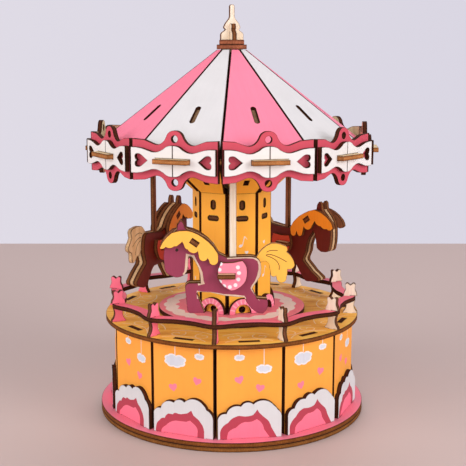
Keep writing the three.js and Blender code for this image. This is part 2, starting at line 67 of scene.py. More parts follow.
# ---- Sizes in mm; levels and outer radii are read from the frame ----
BASE_R = high("base_plate_lower", 0)
BASE_MID = high("base_plate_lower")
BASE_TOP = high("base_plate_upper")
PLY = BASE_MID
WALL_INNER = -high("wall_panel_01", 1)
SKIRT_INNER = WALL_INNER + PLY
WALL_HALF = high("wall_panel_01", 0) - 1.3
WALL_TOP = low("deck_plate")
DECK_TOP = high("deck_plate")
DECK_R = high("deck_plate", 0)
RAIL_TOP = DECK_TOP + 12.2
RAIL_BOTTOM = RAIL_TOP - PLY
POST_R = 82.0
TURNTABLE_R = high("turntable_disc", 0)
TURNTABLE_BOTTOM = low("turntable_disc")
TURNTABLE_TOP = high("turntable_disc")
COLLAR_R = 12.0
AXLE_R = high("axle_dowel", 0)
AXLE_TOP = high("axle_dowel")
AXLE_PLAY = 0.3
BORE_R = AXLE_R + AXLE_PLAY
COLUMN_FACE = 25.3
COLUMN_HALF = 9.25
COLUMN_TOP = high("column")
BRACE_BOTTOM = 134.15
CEILING_BOTTOM = low("ceiling_plate")
CEILING_TOP = high("ceiling_plate")
CEILING_MID = (CEILING_BOTTOM + CEILING_TOP) / 2
CEILING_TAB_HALF = 11.2
CEILING_TAB_R = 98.0
EYELET_R, EYELET_Y = 2.15, 13
FASCIA_INNER = 87.5
ROOF_SLOPE = atan(0.786)
ROOF_EAVE_R = 87.2
ROOF_EAVE_Z = 184.75
ROOF_TOP_R = 9.6
ROOF_SLOT = (27.0, 42.2)
RIB_TAB_DEPTH = 1.2
RIB_ROOM = 1.7
HUB_R = 7.2
FINIAL_BOTTOM = low("finial_base")
FINIAL_FOOT = high("finial_base")
HORSE_R = 61.5
SEAM = 0.1
CAROUSEL_TURN = bearing("fascia_panel_01")
COLUMN_TURN = CAROUSEL_TURN + radians(2)
FIT = 0.15
HALF_SLOT = PLY / 2 + FIT
DISC_SIDES, BORE_SIDES = 180, 32

# Outlines, as in the CAD source: texts of corners, each x,y or x,y,bulge, where the bulge bows the
# side that follows. Each skirt has its outline, the crimson print in it and the pink in that.
SKIRTS = [
    (
        """-20.4,6 20.2,6 20.2,19.2,.28 17.7,24.1,.12 15.2,27,.45 2.1,28.4,.5 -5.7,27.2,.45
        -14.9,22.8,.55 -20.4,17.6""",
        """-18.8,4 17.9,4 16.6,7.2 13.5,12.8,.12 11.4,17.4 8.2,20.2 5.9,22.6 4.6,24.7 3.4,22.9
        1.9,21.2 -.7,20.6,-.1 -5.7,20.9,.2 -8.6,20.7 -10.8,19.9,.1 -13.9,16.8,.15 -17.7,13.7,.15
        -18.9,10.5""",
        """-14.5,4 13.4,4 12.1,6.8 9,11.4 8.2,14.3,.1 6.3,17 4.4,18.4 1.3,17,-.08 -3.2,16.9,.1
        -6.3,15.7 -8.9,13.4,.1 -12,12.1,.12 -13.9,10.2 -14.5,7""",
    ),
    (
        """-19.5,6 21.8,6 21.8,19,.3 17.2,24.9,.15 15.2,27.8,.45 2,28,.5 -5.3,26.9,.5 -14.6,22,.55
        -19.5,17.2""",
        """-18.1,4 15.5,4 15.6,10.5,.1 14.4,14.5 11.9,17.6 8.3,20.1 6.8,23.1 4,20.9 -.4,19.7,-.1
        -3.5,20.1,.3 -6,18.9 -9.1,19,.2 -11.7,15.7,.3 -15.5,13.6,.2 -17.7,10.3,.1""",
        """-14.3,4 10.9,4 11,8.6,.15 10.7,12.1,.1 8.9,14.2 5.8,16.4 3.3,15.2 -.4,15.1 -4.1,15,.1
        -7.9,13.5,.1 -11.1,10.7,.15 -14,7.8,.1""",
    ),
]
POST_HALF = """4.8,0 4.6,1.2,-.2 2.6,5.8,-.1 3.6,9.4 4.7,12.2 4.2,14.6,-.15 3.2,17 3.4,19.2,.75
1.3,20.7,-.1 0,19.6"""
FASCIA_QUARTER = "28,0 28,12.6,.05 20,12 14,9.8,-.28 8,10.8,-.12 5.5,14.2,.36 0,18"
WAVE_QUARTER = "27.7,0 27.7,7.8,.06 20.5,7.3 15.5,5.8,-.22 8.1,6.1,-.1 4.8,8.2,.16 .15,9.3"
HEART_HALF = "23.4,0,.55 24.4,3.6,.3 20.4,3 16.7,0"
FINIAL_LEAVES = "7.7,0 7.7,3.6,.2 6.2,5.4 5,6.2 4.6,7,.5 5.4,9,.1"
FINIAL_HALF = FINIAL_LEAVES + " 3.4,12.2 2,14 1.6,15.5 1.6,22 .9,23"
CROSSING_TOP = 10.6
CROSSING_HALF = FINIAL_LEAVES + f" 4.4,{CROSSING_TOP} 0,{CROSSING_TOP}"

# A peg is (x, y, half width, half height, turn), a pole is its middle and half width, and borders
# are unprinted strips of the coat.
STANDING = {
    "body": """13.3,83,.15 17.4,82,.3 20.7,88.5,.1 20.3,91.1 13.7,91.6 10.8,97.9,-.2 11.8,100
    15.8,106,.12 16.2,113.7,.25 13,118,.1 6.5,118.6 -5.5,118.2 -9.9,120.4 -13.6,125.8,.08
    -18.5,130.6,.08 -29.5,135.6 -31.4,137.2 -31.6,139,.1 -33.5,141.7,.1 -35.7,138.8 -36,136,.12
    -43.8,127,.08 -44.1,111.5,.25 -41,107.2 -37.2,105.7,.2 -31.5,107.6,.15 -29.4,113
    -29,118.8,-.7 -27.3,119.2 -25,115.8 -23,111.9 -22,108 -21.6,103.5 -21.5,101.9
    -28.6,101.9,.35 -31.4,99.2 -30,84.2,.3 -28.3,82.6 -19.2,82.6,-.05 -24.1,95.2,-.35 -22.6,96.4
    -15.6,96 -6.9,93.8 1,92.9 5.8,92.5,.16""",
    "tail": """12.5,113.4 16.3,114.4 19.2,115,-.3 21.6,111.8,.05 22.5,107,.7 25.9,105.6 26.3,103.8,1
    32.6,104.8,.08 33.2,109.8,.45 37.6,112.6,.22 32.4,120.9,.6 30.9,125,.15 23,126.5,.15
    15.5,121,.08 13.2,116.8""",
    "mane": """-46.9,125,.4 -43.1,125.7,.35 -37.8,126.1,.3 -34.9,127.2,.1 -32.9,128.9,-.1
    -31.4,125.5,.3 -29.7,124.2,.2 -27.2,122,.35 -23.2,122.9,-.05 -22.6,119,.75 -17.1,118.4,-.1
    -16,115.4,.8 -10.6,117.5,.1 -10.9,121.5,.12 -20.2,131.7,.12 -30,136,.1 -39.2,134.7,.15""",
    "saddle": """-9,116.2,.1 -11.3,107,.22 -2.5,97.6,.25 6.6,104.1,.12 7.1,112.6,.12 4.4,116.8,-.1
    -7.4,115.4""",
    "ears": (-37, 135.8, -30.4, 143),
    "mane_peg": (-25.3, 128.4, 2.5, 1.6, radians(-35)),
    "saddle_peg": (-5.6, 107.1, 5.4, 1.5, 0.0),
    "pole": (-1.3, 2.2),
    "eye": (-36.3, 123.2),
    "borders": [
        """13.8,92.5 10.3,97 9.7,98.6 10.5,100.4 12.3,102.8 13.7,106.3 14.7,110.7 14.6,113.7
        13.9,115.9 11.3,117.5 6.5,117.7 -5,117.2 -5,121 14,121 19,115 18,100 13,96 15.5,90""",
        "-24,97.2 -20.4,96.5 -15.6,96.3 -10.8,95.6 -6.9,94.8 .8,94.3 5.8,93.6 7,92 5,90 -24,92",
        """-25.6,120 -23.7,115.8 -21.8,112.3 -20.4,108.9 -20,105.9 -19.8,103.5 -19,101.5 -23,100.5
        -26,110 -29,120""",
        "-30.6,121 -31,116.8 -31.3,112.9 -31.7,109.5 -32.9,107.8 -31,106 -27.8,112 -27.4,120",
    ],
    "dots": """-9.1,114.9 -9.8,111.2 -9.6,103.6 -7,100.7 -3.4,100.1 .1,101.3 1.9,104.9 2.3,109
    1.6,112.6""",
    "tail_lines": [
        "19.9,120.6 22,121.8 26.8,121.9",
        "19.4,118.9 24,118.9 32.5,114.6",
        "19.6,118.7 26.4,114.9 27.8,109.5",
    ],
}
GALLOPING = {
    "body": """20.4,82.6 22.9,82 30.8,84.9,.3 32.1,87.9 26.6,92.8 20.4,97.1,-.3 18.8,99.5
    21.4,107,.1 20.9,113.5,.1 19.4,118,.2 15.7,119.6 8,118.6 -4,117.9 -8.8,119.6 -12.3,124.2,.08
    -20.6,130.4,.08 -29.3,133.9 -29.8,137.4,.1 -31.6,140,.15 -33.3,138.6 -33.7,135
    -34.5,133.4,.1 -40.6,126,.1 -42,116.5,.08 -40.7,106.8,.3 -37.6,104.5 -34,104.3,.1
    -30.2,106.6 -28.9,114 -27.6,118.4,-.5 -26.3,118 -22.4,112.2 -20.6,107 -20,102.4
    -17.7,97.2,-.3 -19,94.2 -25.3,88.6 -31.3,84.8,.25 -31.6,82.6 -23.2,81,.1 -20,81.2 -14.2,88.2
    -11,93.2,-.2 -7.5,95.2 2.5,94.9 8,94.8,-.2 13.4,89.2""",
    "tail": """14,113.5 17.6,114.4 20,110.6 22.3,106.4,.2 26.8,104.6 28.6,102.4,.2 31.6,100.9,.3
    33.2,105.2 33.5,108.2 36.9,109.9,.4 36.4,114.2 33,118.6 34,122.4,.35 29.8,125,.12
    19.8,124.9,.15 15,120.5""",
    "mane": """-29.4,134.5,.08 -37,132.6,.1 -44.7,127,.1 -46.3,123.2,.5 -40.8,121.9,.35
    -35.8,123.2,.3 -30.3,126.2 -27.9,122.4,.65 -20.6,121.2 -19.4,116.2,.95 -14.6,116.2
    -14.2,117.2 -13.6,115.6,.95 -8.8,115.6,.1 -8.4,119,.12 -12.1,124.9,.1 -20.5,131,.08""",
    "saddle": "-7.4,113.4,.08 -8.4,106.5,.24 -1.5,97.6,.3 6.6,101.6,.15 9,108,.1 7.8,113.4,-.1",
    "ears": (-34.5, 134.3, -28.9, 141),
    "mane_peg": (-22.9, 126.7, 2.5, 1.6, radians(-35)),
    "saddle_peg": (-2.5, 106.9, 5.4, 1.5, 0.0),
    "pole": (0.0, 1.5),
    "eye": (-34.6, 121.5),
    "tail_lines": [
        "19.5,119.6 24,120.6 29,119.2",
        "20.5,117.2 26,116.4 32.5,112.4",
        "21.4,115 26,112.4 29,106",
    ],
}
POLE_FOOT = 116.0

# ---- Plane geometry ----
ARC_STEP = radians(12)


def path(text):
    """The corners that a text gives."""
    return [tuple(float(v) for v in corner.split(",")) for corner in text.split()]


def trace(corners, closed=True):
    """Points along corners with bulges; an open path keeps its last corner."""
    corners = path(corners) if isinstance(corners, str) else corners
    points = []
    for i, (x, y, *rest) in enumerate(corners):
        points.append((x, y))
        bulge = rest[0] if rest else 0.0
        if not bulge or not closed and i + 1 == len(corners):
            continue
        nx, ny = corners[(i + 1) % len(corners)][:2]
        turn = 4 * atan(bulge)
        dx, dy = nx - x, ny - y
        lift = (1 - bulge * bulge) / (4 * bulge)
        cx, cy = x + dx / 2 - dy * lift, y + dy / 2 + dx * lift
        pieces = max(1, ceil(abs(turn) / ARC_STEP))
        for k in range(1, pieces):
            points += turned([(x - cx, y - cy)], turn * k / pieces, cx, cy)
    return points


def mirrored(corners):
    """A path on x >= 0 from its lowest corner to its top, with its mirror image in x."""
    half = trace(corners, False)
    return half + [(-x, y) for x, y in reversed(half) if x > 0]


def four_ways(corners):
    """A path in the first quadrant, from the x axis to the y axis, mirrored in both axes."""
    upper = mirrored(corners)
    return upper + [(x, -y) for x, y in reversed(upper) if y > 0]


def circle(radius, pieces=48, x=0.0, y=0.0, start=0.0):
    angles = [start + i * (tau / pieces) for i in range(pieces)]
    return [(x + radius * cos(a), y + radius * sin(a)) for a in angles]


def rectangle(x0, y0, x1, y1):
    return [(x0, y0), (x1, y0), (x1, y1), (x0, y1)]


def round_slot(half, start, end):
    """A slot along y with round ends."""
    a, b = start + half, end - half
    return trace([(-half, a, 1), (half, a), (half, b, 1), (-half, b)])


def turned(points, angle, x=0.0, y=0.0):
    c, s = cos(angle), sin(angle)
    return [(x + px * c - py * s, y + px * s + py * c) for px, py in points]


def shifted(points, x, y):
    return [(px + x, py + y) for px, py in points]


def flipped(points):
    return [(-x, y) for x, y in reversed(points)]


def around(loop, sides, offset=0.0):
    return [turned(loop, tau / sides * (k + offset)) for k in range(sides)]


def peg_hole(peg):
    x, y, w, h, angle = peg
    return turned(rectangle(-w - FIT, -h - FIT, w + FIT, h + FIT), angle, x, y)


def stroke(points, width):
    """A line of even width along points, as a closed loop."""
    p = np.array(points, float)
    d = np.gradient(p, axis=0)
    d /= np.maximum(np.linalg.norm(d, axis=1), 1e-9)[:, None]
    n = np.stack([-d[:, 1], d[:, 0]], 1) * width / 2
    return [tuple(q) for q in np.concatenate([p - n, (p + n)[::-1]])]


def bend(points, pieces=8):
    """A smooth line through three points."""
    (x0, y0), (x1, y1), (x2, y2) = points
    cx, cy = 2 * x1 - (x0 + x2) / 2, 2 * y1 - (y0 + y2) / 2
    line = []
    for i in range(pieces + 1):
        t = i / pieces
        a, b, c = (1 - t) ** 2, 2 * t * (1 - t), t * t
        line.append((a * x0 + b * cx + c * x2, a * y0 + b * cy + c * y2))
    return line


def heart(x, y, size, lean=0.0):
    half = mirrored("0,-.48 .42,-.08,.12 .52,.2,.62 .18,.44,.12 0,.33")
    return turned([(px * size, py * size) for px, py in half], lean, x, y)


def cloud(x, y, width, height):
    """A cloud with round lobes of several sizes on all its sides."""
    lobes = """-.38,-.28,.55 -.08,-.4,.5 .27,-.36,.6 .45,-.06,.62
    .38,.26,.55 .04,.3,.6 -.34,.3,.62 -.45,.02,.55"""
    return shifted([(px * width, py * height) for px, py in trace(lobes)], x, y)


def trapezium(low_half, high_half, length):
    return [(-low_half, 0), (low_half, 0), (high_half, length), (-high_half, length)]


# ---- Sheets: a flat region is triangulated once and then raised to its thickness ----
# Points nearer than WELD are one, and SHARPEST keeps the inset short at a sharp corner.
RIM_WIDTH = 0.8
BEVEL = 0.13
WELD = 1e-4
LEAST_AREA = 1e-9
SHARPEST = 0.3
SMOOTH_ANGLE = radians(30)


def contains(loop, points):
    """Which points lie inside a closed loop."""
    a = np.array(loop, float)
    b = np.roll(a, -1, axis=0)
    x, y = points[:, :1], points[:, 1:]
    crosses = (a[:, 1] > y) != (b[:, 1] > y)
    with np.errstate(divide="ignore", invalid="ignore"):
        at = (b[:, 0] - a[:, 0]) * (y - a[:, 1]) / (b[:, 1] - a[:, 1]) + a[:, 0]
    return (crosses & (x < at)).sum(1) % 2 == 1


def triangulate(loops):
    verts, edges = [], []
    for loop in loops:
        first, n = len(verts), len(loop)
        verts += [Vector(p) for p in loop]
        edges += [(first + i, first + (i + 1) % n) for i in range(n)]
    points, _, faces, _, _, _ = delaunay_2d_cdt(verts, edges, [], 0, WELD, False)
    points = np.array([tuple(p) for p in points])
    faces = np.array(faces)
    a, b, c = (points[faces[:, i]] for i in range(3))
    area = (b[:, 0] - a[:, 0]) * (c[:, 1] - a[:, 1]) - (b[:, 1] - a[:, 1]) * (c[:, 0] - a[:, 0])
    faces[area < 0] = faces[area < 0][:, ::-1]
    return points, faces[np.abs(area) > LEAST_AREA]


def kept(points, faces, add, cut):
    centres = points[faces].mean(1)
    inside = np.zeros(len(faces), bool)
    for loop in add:
        inside |= contains(loop, centres)
    for loop in cut:
        inside &= ~contains(loop, centres)
    return inside


def rim_edges(faces):
    """Directed edges with the region on their left and nothing on their right."""
    edges = np.concatenate([faces[:, [0, 1]], faces[:, [1, 2]], faces[:, [2, 0]]])
    have = set(map(tuple, edges))
    return np.array([e for e in map(tuple, edges) if (e[1], e[0]) not in have])


def inward(points, edges):
    """Each rim vertex with its step inward for an inset of 1."""
    sums, count = {}, {}
    d = points[edges[:, 1]] - points[edges[:, 0]]
    d /= np.linalg.norm(d, axis=1)[:, None]
    n = np.stack([-d[:, 1], d[:, 0]], 1)
    for (a, b), step in zip(edges, n):
        for v in (a, b):
            sums[v] = sums.get(v, 0) + step
            count[v] = count.get(v, 0) + 1
    steps = {}
    for v, total in sums.items():
        mean = total / count[v]
        steps[v] = mean / max(float(mean @ mean), SHARPEST)
    return steps


def loops_of(edges):
    following = {}
    for a, b in edges:
        following.setdefault(a, []).append(b)
    loops = []
    while following:
        start = next(iter(following))
        loop, at = [], start
        while at in following:
            loop.append(at)
            after = following[at].pop()
            if not following[at]:
                del following[at]
            at = after
        loops.append(loop)
    return loops


def added(name, data):
    """A new object in the scene."""
    thing = bpy.data.objects.new(name, data)
    bpy.context.scene.collection.objects.link(thing)
    return thing


class Region:
    """A flat region: the union of some loops less others.

    Prints colour areas of either face, and rims colour the cut edges inside a loop.
    """

    def __init__(self, add, cut=(), prints=(), back_prints=(), rims=()):
        add, cut = list(add), list(cut)
        printed = [loop for loop, _ in [*prints, *back_prints]]
        points, faces = triangulate(add + cut)
        faces = faces[kept(points, faces, add, cut)]
        edges = rim_edges(faces)
        steps = inward(points, edges)
        around_it = loops_of(edges)
        border = [[tuple(points[v]) for v in loop] for loop in around_it]
        rings = [[tuple(points[v] + RIM_WIDTH * steps[v]) for v in loop] for loop in around_it]
        points, faces = triangulate(border + rings + printed)
        faces = faces[kept(points, faces, add, cut)]
        used = np.unique(faces)
        renumber = np.full(len(points), -1)
        renumber[used] = np.arange(len(used))
        self.points, self.faces = points[used], renumber[faces]
        self.edges = rim_edges(self.faces)
        centres = self.points[self.faces].mean(1)
        self.front = self.colours(centres, prints)
        self.back = self.colours(centres, back_prints)
        self.side = self.colours(self.points[self.edges].mean(1), rims)
        self.step = np.zeros_like(self.points)
        for v, step in inward(self.points, self.edges).items():
            self.step[v] = step
        self.rim = self.nearness()

    @staticmethod
    def colours(centres, prints):
        found = np.full(len(centres), None, object)
        for loop, material in prints:
            found[contains(loop, centres)] = material
        return found

    def nearness(self):
        """1 on the rim, falling to 0 at RIM_WIDTH inside it."""
        a, b = self.points[self.edges[:, 0]], self.points[self.edges[:, 1]]
        d = b - a
        length = np.maximum((d * d).sum(1), 1e-12)
        offset = self.points[:, None] - a
        t = np.clip((offset * d).sum(2) / length, 0, 1)
        gap = np.linalg.norm(offset - t[..., None] * d, axis=2).min(1)
        return 1 - np.clip(gap / RIM_WIDTH, 0, 1)


def sheet(
    name, region, place, node, face, edge=None, back=None, depth=PLY, body="carousel"
):
    """Raises a region to a bevelled sheet: its back lies on the placed plane, its front faces +z.

    It stands for the CAD node and rides on the body.
    """
    edge, back = edge or EDGE_DARK, back or BARE
    points, faces, edges = region.points, region.faces, region.edges
    n = len(points)
    rim = np.unique(edges)
    slot_of = np.full(n, -1)
    slot_of[rim] = np.arange(len(rim))
    inset = points + BEVEL * region.step
    flat = np.concatenate([inset, inset, points[rim], points[rim]])
    z = np.repeat([depth, 0, depth - BEVEL, BEVEL], [n, n, len(rim), len(rim)])
    near = np.concatenate([region.rim, region.rim, np.ones(2 * len(rim))])
    front_a, front_b = edges.T
    top_a, top_b = 2 * n + slot_of[edges].T
    low_a, low_b = top_a + len(rim), top_b + len(rim)
    sides = [
        np.stack([top_a, top_b, front_b, front_a], 1),
        np.stack([low_a, low_b, top_b, top_a], 1),
        np.stack([front_a + n, front_b + n, low_b, low_a], 1),
    ]
    polygons = [*faces.tolist(), *(faces[:, ::-1] + n).tolist()]
    for strip in sides:
        polygons += strip.tolist()
    names = [m or face for m in region.front] + [m or back for m in region.back]
    names += [m or edge for m in region.side] * 3
    slots = list(dict.fromkeys(names))
    mesh = bpy.data.meshes.new(name)
    mesh.from_pydata((np.column_stack([flat, z]) * MM).tolist(), [], polygons)
    for material in slots:
        mesh.materials.append(material)
    mesh.polygons.foreach_set("material_index", [slots.index(m) for m in names])
    seed = zlib.crc32(name.encode())
    own = np.array([(seed & 1023) * 0.37, (seed >> 10 & 1023) * 0.41])
    grain = mesh.attributes.new("sheet", "FLOAT_VECTOR", "POINT")
    grain.data.foreach_set("vector", np.column_stack([flat + own, z]).astype(np.float32).ravel())
    burn = mesh.attributes.new("rim", "FLOAT", "POINT")
    burn.data.foreach_set("value", near.astype(np.float32))
    mesh.transform(place)
    mesh.shade_smooth()
    mesh.set_sharp_from_angle(angle=SMOOTH_ANGLE)
    mesh.update()
    piece = added(name, mesh)
    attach(piece, body)
    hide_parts(node)
    return piece


# ---- Where sheets lie ----
def axes(origin, x, y):
    place = Matrix((x, y, x.cross(y))).transposed().to_4x4()
    place.translation = origin * MM
    return place


def outward(angle):
    return Vector((sin(angle), -cos(angle), 0))


def tangent(angle):
    return Vector((cos(angle), sin(angle), 0))


UP = Vector((0, 0, 1))


def lying(z, angle=0.0):
    """A level sheet with its underside at z, turned round the axis."""
    return axes(UP * z, tangent(angle), -outward(angle))


def facing(angle, apothem):
    """An upright sheet across the radius, its back at an apothem, its front outward."""
    return axes(outward(angle) * apothem, tangent(angle), UP)


def radial(angle):
    """An upright sheet along the radius, drawn in radius and height; its back faces ahead."""
    return axes(tangent(angle) * PLY / 2, outward(angle), UP)


def sloping(angle, r, z, slope, lift=0.0):
    """A sheet that climbs inward at a slope, its back at r, z or lifted off it."""
    up = UP * sin(slope) - outward(angle) * cos(slope)
    normal = tangent(angle).cross(up)
    return axes(outward(angle) * r + UP * z + normal * lift, tangent(angle), up)


# ---- Materials ----
def linear(code, scale=1.0):
    """The linear colour of an sRGB hex code."""
    values = [int(code[i : i + 2], 16) / 255 for i in (0, 2, 4)]
    return [scale * (v / 12.92 if v <= 0.04045 else ((v + 0.055) / 1.055) ** 2.4) for v in values]


class Graph:
    """A node material under construction."""

    def __init__(self, name):
        self.material = bpy.data.materials.new(name)
        self.material.use_nodes = True
        self.tree = self.material.node_tree
        self.tree.nodes.clear()
        self.shader = self.tree.nodes.new("ShaderNodeBsdfPrincipled")
        output = self.tree.nodes.new("ShaderNodeOutputMaterial")
        self.tree.links.new(self.shader.outputs[0], output.inputs[0])

    def put(self, socket, value):
        if isinstance(value, bpy.types.NodeSocket):
            self.tree.links.new(value, socket)
        elif value is not None:
            if hasattr(socket.default_value, "__len__") and len(socket.default_value) == 4:
                value = [*value[:3], 1.0]
            socket.default_value = value

    def node(self, kind, inputs, output=0, **settings):
        """Adds a node with inputs by name or number, and returns one of its outputs."""
        node = self.tree.nodes.new("ShaderNode" + kind)
        for key, value in settings.items():
            setattr(node, key, value)
        for key, value in inputs.items():
            self.put(node.inputs[key], value)
        return node.outputs[output]

    def attribute(self, name, output):
        return self.node("Attribute", {}, output, attribute_name=name)

    def scaled(self, vector, scale):
        return self.node("VectorMath", {0: vector, 1: scale}, operation="MULTIPLY")

    def noise(self, vector, scale=1.0, detail=2, roughness=0.55, distortion=0.0):
        """Noise from 0 to 1; three numbers for scale stretch it along the axes."""
        if not isinstance(scale, float):
            vector, scale = self.scaled(vector, scale), 1.0
        inputs = {"Vector": vector, "Scale": scale, "Detail": detail, "Roughness": roughness}
        return self.node("TexNoise", {**inputs, "Distortion": distortion}, "Fac")

    def math(self, operation, a, b=None, c=None, clamp=False):
        return self.node("Math", {0: a, 1: b, 2: c}, operation=operation, use_clamp=clamp)

    def varied(self, value, amount, centre=1.0):
        """centre + amount * (value - 0.5), for a noise value."""
        return self.math("MULTIPLY_ADD", value, amount, centre - amount / 2)

    def blend(self, a, share, b):
        """A share of one value and the rest of another."""
        return self.math("MULTIPLY_ADD", a, share, self.math("MULTIPLY", b, 1 - share))

    def ramp(self, value, stops):
        """Colours along a value; stops are (position, linear colour)."""
        node = self.tree.nodes.new("ShaderNodeValToRGB")
        elements = node.color_ramp.elements
        while len(elements) < len(stops):
            elements.new(0.5)
        for element, (position, colour) in zip(elements, stops):
            element.position = position
            element.color = [*colour[:3], 1.0]
        self.put(node.inputs[0], value)
        return node.outputs[0]

    def mix(self, amount, a, b):
        return self.node("Mix", {0: amount, 6: a, 7: b}, 2, data_type="RGBA")

    def brightened(self, colour, factor):
        return self.node("VectorMath", {0: colour, "Scale": factor}, operation="SCALE")

    def finish(self, colour, roughness, height=None, strength=0.3, distance=0.05 * MM, gloss=0.3):
        self.put(self.shader.inputs["Base Color"], colour)
        self.put(self.shader.inputs["Roughness"], roughness)
        self.shader.inputs["Specular IOR Level"].default_value = gloss
        if height is not None:
            bump = {"Strength": strength, "Distance": distance, "Height": height}
            self.put(self.shader.inputs["Normal"], self.node("Bump", bump))
        return self.material


SCORCH = linear("6b3a1c")


def fibres(g, across=False):
    """The sheet's own coordinate, fine wood fibre and long waves of grain."""
    place = g.attribute("sheet", "Vector")
    fine, wide = (2.6, 0.09, 1.0), (0.35, 0.02, 1.0)
    if across:
        fine, wide = (0.09, 2.6, 1.0), (0.02, 0.35, 1.0)
    return place, g.noise(place, fine, 4, 0.65), g.noise(place, wide, 2, 0.5, 0.6)


def pored(g, colour, fine, threshold, amount, dark):
    """Dark pores where the fibre is strongest."""
    pores = g.math("MULTIPLY", g.math("GREATER_THAN", fine, threshold), amount)
    return g.mix(pores, colour, dark)


def singed(g, colour, amount):
    """Smoke from the laser, darkest at the rim of the sheet."""
    patchy = g.noise(g.attribute("sheet", "Vector"), (0.5, 0.5, 0.5))
    near = g.math("POWER", g.attribute("rim", "Fac"), 2.2)
    share = g.math("MULTIPLY", near, g.varied(patchy, 1.2 * amount, amount), clamp=True)
    return g.mix(share, colour, SCORCH)


def ink(name, code, grain=0.10, smoke=0.35):
    """A printed face: flat colour with the ply's fibre, small print specks and uneven soak."""
    g = Graph("ink_" + name)
    place, fine, wide = fibres(g)
    speck = g.noise(place, 5.0, roughness=0.6)
    soak = g.noise(place, (0.07, 0.07, 0.07))
    factor = g.varied(soak, 0.10)
    for value, amount in ((speck, 0.07), (wide, grain), (fine, grain * 1.6)):
        factor = g.math("ADD", factor, g.varied(value, amount, 0.0))
    colour = g.brightened(linear(code), factor)
    colour = pored(g, colour, fine, 0.66, grain * 1.3, linear(code, 0.55))
    height = g.math("ADD", fine, g.math("MULTIPLY", speck, 0.5))
    return g.finish(singed(g, colour, smoke), g.varied(soak, 0.16, 0.58), height, 0.28)


def bare(name, pale, dark, smoke=0.45):
    """Unprinted ply."""
    g = Graph("ply_" + name)
    place, fine, wide = fibres(g)
    speck = g.noise(place, 4.0, roughness=0.6)
    colour = g.ramp(g.blend(wide, 0.55, fine), [(0.30, linear(dark)), (0.62, linear(pale))])
    colour = pored(g, colour, fine, 0.63, 0.35, linear(dark, 0.6))
    colour = g.brightened(colour, g.varied(speck, 0.12))
    height = g.math("ADD", fine, g.math("MULTIPLY", speck, 0.4))
    return g.finish(singed(g, colour, smoke), 0.68, height, 0.35)


def burnt(name, plies, patch=0.5):
    """A laser-cut edge: three plies between scorched lips, streaked by the beam."""
    g = Graph("edge_" + name)
    place = g.attribute("sheet", "Vector")
    streak = g.noise(place, (3.2, 3.2, 0.35), 3, 0.7)
    waver = g.noise(place, (0.5, 0.5, 0.0))
    area = g.noise(place, (0.13, 0.13, 0.13))
    height = g.math("ADD", g.node("SeparateXYZ", {0: place}, 2), g.varied(waver, 0.35, 0.0))
    lip, outer, glue, core = (linear(c) for c in plies)
    half = [(0.0, lip), (0.09, lip), (0.15, outer), (0.30, outer), (0.335, glue), (0.38, core)]
    far = [(0.62, core), (0.665, glue), (0.70, outer), (0.85, outer), (0.91, lip), (1.0, lip)]
    colour = g.ramp(g.math("DIVIDE", height, PLY), half + far)
    speck = g.noise(place, 2.2, roughness=0.6)
    tone = g.math("MULTIPLY", g.varied(streak, 1.1), g.varied(area, patch * 2))
    tone = g.math("MULTIPLY", tone, g.varied(speck, 1.5))
    colour = g.brightened(colour, g.math("MAXIMUM", tone, 0.15))
    return g.finish(colour, 0.85, streak, 0.5, 0.12 * MM, gloss=0.12)


def stained(name):
    """The deck: an orange stain over lively grain."""
    g = Graph("stain_" + name)
    place, fine, wide = fibres(g, across=True)
    swirl = g.noise(place, (0.025, 0.22, 1.0), 3, 0.6, 1.4)
    stops = [(0.33, linear("cc8126")), (0.46, linear("fbb946")), (0.62, linear("ffd56a"))]
    colour = g.ramp(g.blend(swirl, 0.65, fine), stops)
    colour = g.mix(g.varied(wide, 0.4, 0.12), colour, linear("f4ac42"))
    return g.finish(singed(g, colour, 0.5), 0.6, g.math("ADD", fine, swirl), 0.3)


PINK = ink("pink", "f6748b")
ROOF_PINK = ink("roof_pink", "f8819b")
BASE_PINK = ink("base_pink", "f07c90")
CRIMSON = ink("crimson", "c84858")
SKIRT_RED = ink("skirt_red", "b13c4d")
WHITE = ink("white", "e3e0e0", grain=0.05)
ROOF_WHITE = ink("roof_white", "d8d5d5", grain=0.05)
SKIRT_WHITE = ink("skirt_white", "d1cfcf", grain=0.08)
WAVE_WHITE = ink("wave_white", "e0dcd8", grain=0.05)
ORANGE = ink("orange", "f5a23e", grain=0.06)
# Painted light: the column and the capital take a brighter copy of the walls' orange, which lights
# them under the canopy.
LIT_COLUMN_ORANGE = ink("lit_column_orange", "ffb63c", grain=0.08)
HEART_PINK = ink("heart_pink", "ff7d92", smoke=0.2)
PLUM = ink("plum", "8e334c", grain=0.16)
MAROON = ink("maroon", "6a1f19", grain=0.25)
YELLOW = ink("yellow", "fab547", grain=0.06)
AMBER = ink("amber", "fd9e2a", grain=0.12)
BRICK = ink("brick", "d24e35", grain=0.16)
SADDLE_PINK = ink("saddle_pink", "f48498")
PALE_PRINT = ink("pale_line", "fde3bb", smoke=0.0)
PALE_PINK = ink("pale_pink", "ffb3bf", smoke=0.2)
CLOUD_GREY = ink("cloud_grey", "cfd0d8", grain=0.12, smoke=0.0)
TABLE_PINK = ink("table_pink", "fe8d9d", grain=0.14)
TABLE_WHITE = ink("table_white", "fff2ea", grain=0.14)
DARK_LINE = ink("engraved", "2d130a", smoke=0.0)
STAIN = stained("deck")
BARE = bare("bare", "e8cfa6", "c9a472")
PALE = bare("pale", "efe0cb", "d6bd9c")
